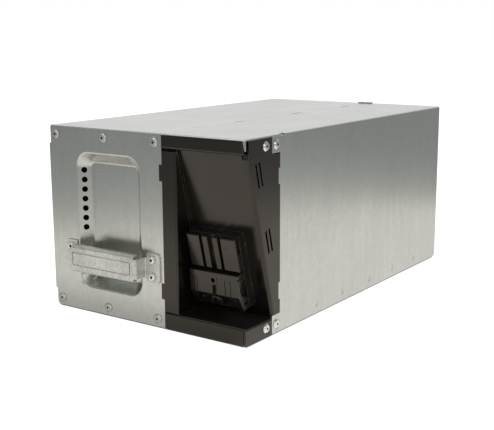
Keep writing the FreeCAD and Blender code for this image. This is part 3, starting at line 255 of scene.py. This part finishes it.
# Mask along sharp outside edges, broken up by noise, for wear and a painted highlight on the
# edges.
def makeEdgeGroup(spec):
    group, source, target = newGroup("edgeWearAndHighlight", spec["inputs"], ["Mask"])
    rounded = addNode(group, "ShaderNodeBevel", samples=spec["samples"])
    group.links.new(source.outputs["Width"], rounded.inputs["Radius"])
    surface = group.nodes.new("ShaderNodeNewGeometry")
    turned = addNode(group, "ShaderNodeVectorMath", operation="DOT_PRODUCT")
    group.links.new(rounded.outputs[0], turned.inputs[0])
    group.links.new(surface.outputs["Normal"], turned.inputs[1])
    edge = remap(group, turned.outputs["Value"], spec["plain"], spec["sharp"], 0.0, 1.0)
    speck = noise(group, objectPlace(group), spec["speckScale"], spec["speckDetail"],
                  spec["speckRough"])
    broken = remap(group, mathNode(group, "MULTIPLY", speck, source.outputs["Broken"]),
                   spec["gapFrom"], spec["gapTo"], 1.0, spec["gapMask"])
    group.links.new(mathNode(group, "MULTIPLY", edge, broken), target.inputs["Mask"])
    return group


paintedShadePattern = {
    "inputs": (("Reach", 0.002),),
    "samples": 8,
    "hidden": 0.25,   # share of open sky at which the painted shade is full
    "open": 0.72,
}


# Painted shade: a mask that darkens sockets, narrow gaps and the rings round fasteners, where
# shade falls.
def makePaintedShadeGroup(spec):
    group, source, target = newGroup("recessPaintedShade", spec["inputs"], ["Mask"])
    sky = addNode(group, "ShaderNodeAmbientOcclusion", samples=spec["samples"])
    group.links.new(source.outputs["Reach"], sky.inputs["Distance"])
    mask = remap(group, sky.outputs["AO"], spec["hidden"], spec["open"], 1.0, 0.0)
    group.links.new(mask, target.inputs["Mask"])
    return group


skinPattern = {
    "inputs": (("Peel", 1500.0), ("Dust", 0.3)),
    "peelDetail": 2.0,
    "peelRough": 0.5,
    "cloudScale": 30.0,
    "cloudDetail": 4.0,
    "cloudRough": 0.55,
    "cloudFrom": 0.45,
    "cloudTo": 0.75,
    "speckScale": 700.0,
    "speckDetail": 2.0,
    "speckFrom": 0.4,
    "speckTo": 0.7,
    "speckLeast": 0.2,
}


# Powder coat or moulded skin: fine orange peel, and dust that settles in patches.
def makeSkinGroup(spec):
    group, source, target = newGroup("fineSkin", spec["inputs"], ["Height", "Dust", "Tone"])
    place = objectPlace(group)
    peel = noise(group, place, source.outputs["Peel"], spec["peelDetail"], spec["peelRough"])
    cloud = noise(group, place, spec["cloudScale"], spec["cloudDetail"], spec["cloudRough"])
    speck = noise(group, place, spec["speckScale"], spec["speckDetail"], spec["cloudRough"])
    patch = remap(group, cloud, spec["cloudFrom"], spec["cloudTo"], 0.0, 1.0)
    fine = remap(group, speck, spec["speckFrom"], spec["speckTo"], spec["speckLeast"], 1.0)
    dust = mathNode(group, "MULTIPLY", mathNode(group, "MULTIPLY", patch, fine),
                    source.outputs["Dust"])
    group.links.new(peel, target.inputs["Height"])
    group.links.new(dust, target.inputs["Dust"])
    group.links.new(cloud, target.inputs["Tone"])
    return group


zincGroup = makeZincGroup(zincPattern)
edgeGroup = makeEdgeGroup(edgePattern)
paintedShadeGroup = makePaintedShadeGroup(paintedShadePattern)
skinGroup = makeSkinGroup(skinPattern)
print("patterns made")


def newMaterial(name):
    material = bpy.data.materials.new(name)
    material.use_nodes = True
    tree = material.node_tree
    return material, tree, tree.nodes["Principled BSDF"]


def bumpFrom(tree, shader, height, strength, distance):
    node = addNode(tree, "ShaderNodeBump", Strength=strength, Distance=distance)
    tree.links.new(height, node.inputs["Height"])
    tree.links.new(node.outputs[0], shader.inputs["Normal"])


metalFinish = {
    "middle": 0.5,         # mean of the noises
    "toneSpread": 0.22,    # either side of the mean
    "roughSpread": 0.02,
    "broken": 0.35,
    "bumpDepth": 0.0002,
    # colour of the painted shade in recesses, gaps and fastener rings
    "paintedShadeColour": (34, 33, 30),
}
coatFinish = {
    "toneFrom": 0.3,
    "toneTo": 0.7,
    "roughSpread": 0.04,
    "broken": 0.5,
    "bumpDepth": 0.00008,
    "sheenRough": 0.45,
    "warm": (1.0, 0.87, 0.73, 1.0),
}


# Bare or zinc coated metal: streaked tone, crystal patches, pale edges of wear and painted
# highlight, and painted shade in recesses.
def metalMaterial(name, spec, finish):
    material, tree, shader = newMaterial(name)
    coating = useGroup(tree, zincGroup, Patch_Size=spec["patch"], Streak=spec["streak"],
                       Mottle=spec["mottle"])
    edges = useGroup(tree, edgeGroup, Width=spec["edge"], Broken=finish["broken"])
    recess = useGroup(tree, paintedShadeGroup, Reach=spec["paintedShadeReach"])
    shares = (spec["streak"] + spec["mottle"] + zincPattern["cloudShare"]
              + zincPattern["patchShare"])
    low = finish["middle"] * shares - finish["toneSpread"]
    high = finish["middle"] * shares + finish["toneSpread"]
    tone = remap(tree, coating.outputs["Tone"], low, high, 0.0, 1.0)
    body = mixColour(tree, tone, linear(spec["dark"]), linear(spec["light"]))
    # Pale edges: wear, and a painted highlight where the edges would catch the light.
    wornAndHighlit = mathNode(tree, "MULTIPLY", edges.outputs["Mask"], spec["wearAndHighlight"])
    colour = mixColour(tree, wornAndHighlit, body, linear(spec["bright"]))
    # Painted shade: occluded recesses, gaps and rings round fasteners are darkened.
    paintedShade = mathNode(tree, "MULTIPLY", recess.outputs["Mask"], spec["paintedShade"])
    colour = mixColour(tree, paintedShade, colour, linear(finish["paintedShadeColour"]))
    tree.links.new(colour, shader.inputs["Base Color"])
    shader.inputs["Metallic"].default_value = spec["metal"]
    rough = remap(tree, coating.outputs["Tone"], low, high,
                  spec["rough"] + finish["roughSpread"], spec["rough"] - finish["roughSpread"])
    tree.links.new(rough, shader.inputs["Roughness"])
    bumpFrom(tree, shader, coating.outputs["Height"], spec["bump"], finish["bumpDepth"])
    return material


# Coated or moulded surface: fine skin, a little dust, and a paler edge of wear and painted
# highlight.
def coatMaterial(name, spec, finish):
    material, tree, shader = newMaterial(name)
    skin = useGroup(tree, skinGroup, Peel=spec["peel"], Dust=spec["dust"])
    edges = useGroup(tree, edgeGroup, Width=spec["edge"], Broken=finish["broken"])
    body = mixColour(tree, skin.outputs["Tone"], linear(spec["dark"]), linear(spec["light"]))
    dusty = mixColour(tree, skin.outputs["Dust"], body, linear(spec["dustColour"]))
    # Pale edges: wear, and a painted highlight along the edges.
    wornAndHighlit = mathNode(tree, "MULTIPLY", edges.outputs["Mask"], spec["wearAndHighlight"])
    colour = mixColour(tree, wornAndHighlit, dusty, linear(spec["bright"]))
    tree.links.new(colour, shader.inputs["Base Color"])
    shader.inputs["IOR"].default_value = spec["ior"]
    shader.inputs["Specular Tint"].default_value = finish["warm"]
    shader.inputs["Sheen Weight"].default_value = spec["sheen"]
    shader.inputs["Sheen Roughness"].default_value = finish["sheenRough"]
    shader.inputs["Sheen Tint"].default_value = finish["warm"]
    rough = remap(tree, skin.outputs["Tone"], finish["toneFrom"], finish["toneTo"],
                  spec["rough"] + finish["roughSpread"], spec["rough"] - finish["roughSpread"])
    tree.links.new(rough, shader.inputs["Roughness"])
    bumpFrom(tree, shader, skin.outputs["Height"], spec["bump"], finish["bumpDepth"])
    return material


# The bright colour is for pale edges, wear and painted highlight; the shade share and its reach
# set the painted shade in recesses.
metalSpecs = {
    "galvanised_steel": {
        "dark": (201, 202, 196), "light": (216, 216, 209), "bright": (240, 239, 233),
        "wearAndHighlight": 0.6, "edge": 0.0007, "paintedShade": 0.3, "paintedShadeReach": 0.0012,
        "patch": 0.005, "streak": 0.28, "mottle": 0.4,
        "metal": 1.0, "rough": 0.26, "bump": 0.055},
    "zinc_plate": {
        "dark": (190, 189, 182), "light": (240, 239, 232), "bright": (245, 243, 236),
        "wearAndHighlight": 0.6, "edge": 0.0005, "paintedShade": 0.8, "paintedShadeReach": 0.0022,
        "patch": 0.003, "streak": 0.15, "mottle": 0.7,
        "metal": 0.8, "rough": 0.40, "bump": 0.5},
    "bright_screw": {
        "dark": (232, 232, 230), "light": (244, 244, 242), "bright": (252, 252, 252),
        "wearAndHighlight": 0.3, "edge": 0.0003, "paintedShade": 0.95, "paintedShadeReach": 0.0026,
        "patch": 0.002, "streak": 0.1, "mottle": 0.1,
        "metal": 1.0, "rough": 0.16, "bump": 0.03},
    "black_screw": {
        "dark": (74, 78, 80), "light": (92, 96, 98), "bright": (140, 142, 142),
        "wearAndHighlight": 0.4, "edge": 0.0003, "paintedShade": 0.9, "paintedShadeReach": 0.002,
        "patch": 0.002, "streak": 0.1, "mottle": 0.2,
        "metal": 1.0, "rough": 0.3, "bump": 0.05},
    "terminal_tin": {
        "dark": (205, 203, 196), "light": (222, 220, 214), "bright": (240, 238, 232),
        "wearAndHighlight": 0.3, "edge": 0.0003, "paintedShade": 0.5, "paintedShadeReach": 0.002,
        "patch": 0.002, "streak": 0.1, "mottle": 0.2,
        "metal": 1.0, "rough": 0.3, "bump": 0.03},
    "contact_brass": {
        "dark": (176, 148, 92), "light": (204, 176, 118), "bright": (232, 210, 160),
        "wearAndHighlight": 0.4, "edge": 0.0003, "paintedShade": 0.95, "paintedShadeReach": 0.012,
        "patch": 0.002, "streak": 0.2, "mottle": 0.2,
        "metal": 1.0, "rough": 0.28, "bump": 0.03},
}
# The rivets share the plate's zinc, with painted shade darkening their centres and rings. The
# pan's edge is darkened by painted shade.
metalSpecs["rivet_zinc"] = {**metalSpecs["galvanised_steel"], "paintedShade": 0.95, "paintedShadeReach": 0.0026,
                            "rough": 0.44, "bump": 0.0, "wearAndHighlight": 0.1}
metalSpecs["pan_edge_painted_shade"] = {**metalSpecs["galvanised_steel"], "paintedShade": 1.0, "paintedShadeReach": 0.006}

# The bright colour is for pale edges, wear and painted highlight.
coatSpecs = {
    "black_powder_coat": {
        "dark": (9, 8, 7), "light": (15, 14, 12), "bright": (180, 176, 168),
        "dustColour": (60, 58, 54), "dust": 0.04, "wearAndHighlight": 0.6, "edge": 0.0004,
        "peel": 1400.0, "bump": 0.08, "ior": 1.64, "rough": 0.23, "sheen": 0.02},
    "plug_moulding": {
        "dark": (9, 9, 8), "light": (16, 15, 13), "bright": (150, 146, 138),
        "dustColour": (64, 62, 58), "dust": 0.05, "wearAndHighlight": 0.7, "edge": 0.0004,
        "peel": 1800.0, "bump": 0.06, "ior": 1.72, "rough": 0.25, "sheen": 0.03},
    "battery_case": {
        "dark": (48, 48, 50), "light": (60, 60, 62), "bright": (110, 110, 110),
        "dustColour": (104, 102, 98), "dust": 0.15, "wearAndHighlight": 0.2, "edge": 0.0005,
        "peel": 700.0, "bump": 0.3, "ior": 1.5, "rough": 0.5, "sheen": 0.0},
    "lead_insulation": {
        "dark": (34, 34, 34), "light": (44, 44, 44), "bright": (80, 80, 80),
        "dustColour": (80, 78, 74), "dust": 0.2, "wearAndHighlight": 0.1, "edge": 0.0003,
        "peel": 500.0, "bump": 0.1, "ior": 1.5, "rough": 0.5, "sheen": 0.0},
    "insulating_sheet": {
        "dark": (206, 204, 194), "light": (222, 220, 212), "bright": (232, 230, 224),
        "dustColour": (180, 176, 166), "dust": 0.1, "wearAndHighlight": 0.2, "edge": 0.0003,
        "peel": 300.0, "bump": 0.05, "ior": 1.5, "rough": 0.55, "sheen": 0.0},
    "foam": {
        "dark": (84, 84, 84), "light": (104, 104, 104), "bright": (120, 120, 120),
        "dustColour": (120, 118, 114), "dust": 0.1, "wearAndHighlight": 0.1, "edge": 0.0003,
        "peel": 900.0, "bump": 1.0, "ior": 1.45, "rough": 0.95, "sheen": 0.0},
    "grommet_rubber": {
        "dark": (38, 38, 38), "light": (50, 50, 50), "bright": (86, 86, 86),
        "dustColour": (86, 84, 80), "dust": 0.3, "wearAndHighlight": 0.1, "edge": 0.0003,
        "peel": 900.0, "bump": 0.2, "ior": 1.5, "rough": 0.75, "sheen": 0.0},
    "fuse_body": {
        "dark": (214, 208, 190), "light": (228, 222, 206), "bright": (236, 232, 220),
        "dustColour": (180, 172, 156), "dust": 0.1, "wearAndHighlight": 0.2, "edge": 0.0003,
        "peel": 400.0, "bump": 0.1, "ior": 1.5, "rough": 0.5, "sheen": 0.0},
}
ownFinish = {"front_rivets": "rivet_zinc", "base_pan": "pan_edge_painted_shade"}

materials = {}
for name, spec in metalSpecs.items():
    materials[name] = metalMaterial(name, spec, metalFinish)
for name, spec in coatSpecs.items():
    materials[name] = coatMaterial(name, spec, coatFinish)
finishes = {part["node"]: part["material_slot"] for part in frame["record"]["subparts"]}
finishes.update(ownFinish)
for nodeName, cadObject in nodes.items():
    for holder in cadObject.material_slots:
        holder.material = materials[finishes[nodeName]]
print("materials:", len(materials))


stripSpec = {
    "inset": (0.00322, 0.0033),   # from the shelf's right and front faces to the bend's axis
    "radius": 0.00218,
    "thick": 0.0003,
    "turns": (-18.0, 50.0),       # degrees from the front towards the right
    "columns": 11,
    "low": 0.0010,
    "high": 0.0124,
    "rows": 5,
}


# Curved black strip behind the open corner of the base shelf's two bands: painted shade, a dark
# sheet that stands in for the shade inside the corner. Each wall is a grid of turn u and height
# v:
# x = cx + r sin u, y = cy - r cos u, z = v, once for each radius r.
def makeCornerShadeStrip(spec):
    low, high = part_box("base_shelf")
    centreX = high[0] - spec["inset"][0]
    centreY = low[1] + spec["inset"][1]
    turns = np.radians(np.linspace(*spec["turns"], spec["columns"]))
    heights = low[2] + np.linspace(spec["low"], spec["high"], spec["rows"])
    radii = np.array([spec["radius"], spec["radius"] + spec["thick"]])
    r, u, v = np.meshgrid(radii, turns, heights, indexing="ij")
    points = np.stack([centreX + r * np.sin(u), centreY - r * np.cos(u), v], axis=-1)
    index = np.arange(r.size).reshape(r.shape)

    # Quads of one grid of indices, turned over where the face points the other way.
    def quads(grid, flip):
        cells = np.stack([grid[:-1, :-1], grid[1:, :-1], grid[1:, 1:], grid[:-1, 1:]], axis=-1)
        cells = cells.reshape(-1, 4)
        return cells[:, ::-1] if flip else cells

    faces = np.concatenate([
        quads(index[0], True), quads(index[1], False),
        quads(index[:, :, 0], True), quads(index[:, :, -1], False),
        quads(index[:, 0, :], False), quads(index[:, -1, :], True)])
    mesh = bpy.data.meshes.new("shelfCornerShadeStrip")
    mesh.from_pydata(points.reshape(-1, 3).tolist(), [], faces.tolist())
    mesh.materials.append(materials["black_powder_coat"])
    strip = bpy.data.objects.new("shelfCornerShadeStrip", mesh)
    bpy.context.scene.collection.objects.link(strip)
    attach(strip, "root")


makeCornerShadeStrip(stripSpec)
print("corner strip made")


floorSpec = {
    "half": 20.0,
    "below": 0.0003,        # just under the part, so that no faces touch
    "white": 0.93,          # what the camera sees before the lamps add to it
    "diffuse": 0.5,
    "samples": 8,
    "contact": 0.003,       # reach of the thin shadow along the lower edges
    "contactFrom": 0.1,
    "contactTo": 0.55,
    "frontShade": 0.42,     # the part's soft shadow on the floor ahead of it
    "shadeReach": 0.075,
    "shadeInset": 0.01,
    "shadeSide": (-0.03, 0.005),
    "rampReach": 2.0,
    "rampMiddle": 0.5,      # where new stops start, before they are placed
}
floorGlow = (               # distance from the part in metres, and the glow there
    (0.00, (0.880, 0.865, 0.842)),
    (0.50, (0.870, 0.855, 0.832)),
    (0.60, (0.450, 0.456, 0.448)),
    (0.80, (0.356, 0.370, 0.370)),
    (1.10, (0.290, 0.303, 0.304)),
    (2.00, (0.285, 0.298, 0.299)),
)


# What reflections see of the floor: its glow by distance from the part.
def glowByDistance(tree, place, spec, glow):
    away = addNode(tree, "ShaderNodeVectorMath", operation="LENGTH")
    tree.links.new(place, away.inputs[0])
    ramp = tree.nodes.new("ShaderNodeValToRGB")
    tree.links.new(mathNode(tree, "DIVIDE", away.outputs["Value"], spec["rampReach"]),
                   ramp.inputs[0])
    stops = ramp.color_ramp.elements
    while len(stops) < len(glow):
        stops.new(spec["rampMiddle"])
    for stop, (reach, colour) in zip(stops, glow):
        stop.position = reach / spec["rampReach"]
        stop.color = colour + (1.0,)
    return ramp.outputs[0]


# Soft dimming just ahead of the part, where its own shadow lies.
def shadeAhead(tree, place, spec):
    front = cadBox[0][1]
    right = cadBox[1][0]
    axes = tree.nodes.new("ShaderNodeSeparateXYZ")
    tree.links.new(place, axes.inputs[0])
    ahead = remap(tree, axes.outputs["Y"], front - spec["shadeReach"],
                  front + spec["shadeInset"], 0.0, spec["frontShade"])
    beside = remap(tree, axes.outputs["X"], right + spec["shadeSide"][0],
                   right + spec["shadeSide"][1], 1.0, 0.0)
    return mathNode(tree, "MULTIPLY", ahead, beside)


# White floor with a thin contact shadow. Reflections see it bright near the part and
# dimmer further off.
def makeFloor(spec, glow):
    mesh = bpy.data.meshes.new("studioFloor")
    h = spec["half"]
    mesh.from_pydata([(-h, -h, 0), (h, -h, 0), (h, h, 0), (-h, h, 0)], [], [(0, 1, 2, 3)])
    floor = bpy.data.objects.new("studioFloor", mesh)
    floor.location.z = cadBox[0][2] - spec["below"]
    bpy.context.scene.collection.objects.link(floor)
    material, tree, white = newMaterial("studioFloor")
    white.inputs["Base Color"].default_value = (spec["diffuse"],) * 3 + (1.0,)
    white.inputs["Roughness"].default_value = 1.0
    white.inputs["Emission Color"].default_value = (1.0, 1.0, 1.0, 1.0)
    sky = addNode(tree, "ShaderNodeAmbientOcclusion", samples=spec["samples"])
    sky.inputs["Distance"].default_value = spec["contact"]
    lit = remap(tree, sky.outputs["AO"], spec["contactFrom"], spec["contactTo"], 0.0,
                spec["white"])
    tree.links.new(lit, white.inputs["Emission Strength"])
    place = objectPlace(tree)
    shadow = shadeAhead(tree, place, spec)
    unseen = tree.nodes.new("ShaderNodeEmission")
    tree.links.new(glowByDistance(tree, place, spec, glow), unseen.inputs["Color"])
    tree.links.new(mathNode(tree, "SUBTRACT", 1.0, shadow), unseen.inputs["Strength"])
    path = tree.nodes.new("ShaderNodeLightPath")
    mix = tree.nodes.new("ShaderNodeMixShader")
    tree.links.new(path.outputs["Is Camera Ray"], mix.inputs[0])
    tree.links.new(unseen.outputs[0], mix.inputs[1])
    tree.links.new(white.outputs[0], mix.inputs[2])
    tree.links.new(mix.outputs[0], tree.nodes["Material Output"].inputs["Surface"])
    mesh.materials.append(material)


worldSpec = {"seen": (1.0, 1.0, 1.0, 1.0), "around": (0.295, 0.305, 0.31, 1.0)}


def makeWorld(spec):
    world = bpy.data.worlds.new("studioWorld")
    bpy.context.scene.world = world
    world.use_nodes = True
    tree = world.node_tree
    ground = tree.nodes["Background"]
    path = tree.nodes.new("ShaderNodeLightPath")
    shade = mixColour(tree, path.outputs["Is Camera Ray"], spec["around"], spec["seen"])
    tree.links.new(shade, ground.inputs["Color"])
    ground.inputs["Strength"].default_value = 1.0


lampSpecs = {
    "backPanel": {"place": (-1.15, 1.64, 0.85), "aim": (0.0, 0.0, 0.60), "width": 4.2,
                  "height": 1.6, "radiance": 0.56},
    "frontPanel": {"place": (1.3, -1.85, 1.1), "aim": (0.0, 0.0, 0.1), "width": 2.4,
                   "height": 1.4, "radiance": 0.8},
    "topPanel": {"place": (-0.3, -0.2, 1.7), "aim": (0.0, 0.0, 0.1), "width": 1.6,
                 "height": 1.6, "radiance": 1.05},
}


# Rectangular lamp of a given radiance that faces a point.
def makeLamp(name, spec):
    data = bpy.data.lights.new(name, "AREA")
    data.shape = "RECTANGLE"
    data.size = spec["width"]
    data.size_y = spec["height"]
    data.energy = spec["radiance"] * math.pi * spec["width"] * spec["height"]
    lamp = bpy.data.objects.new(name, data)
    bpy.context.scene.collection.objects.link(lamp)
    lamp.location = spec["place"]
    away = (Vector(spec["place"]) - Vector(spec["aim"])).normalized()
    lamp.rotation_euler = away.to_track_quat("Z", "Y").to_euler()
    lamp.visible_camera = False


makeFloor(floorSpec, floorGlow)
makeWorld(worldSpec)
for lampName, lampSpec in lampSpecs.items():
    makeLamp(lampName, lampSpec)
bpy.context.scene.view_settings.view_transform = "Standard"
print("floor, world and lamps set")
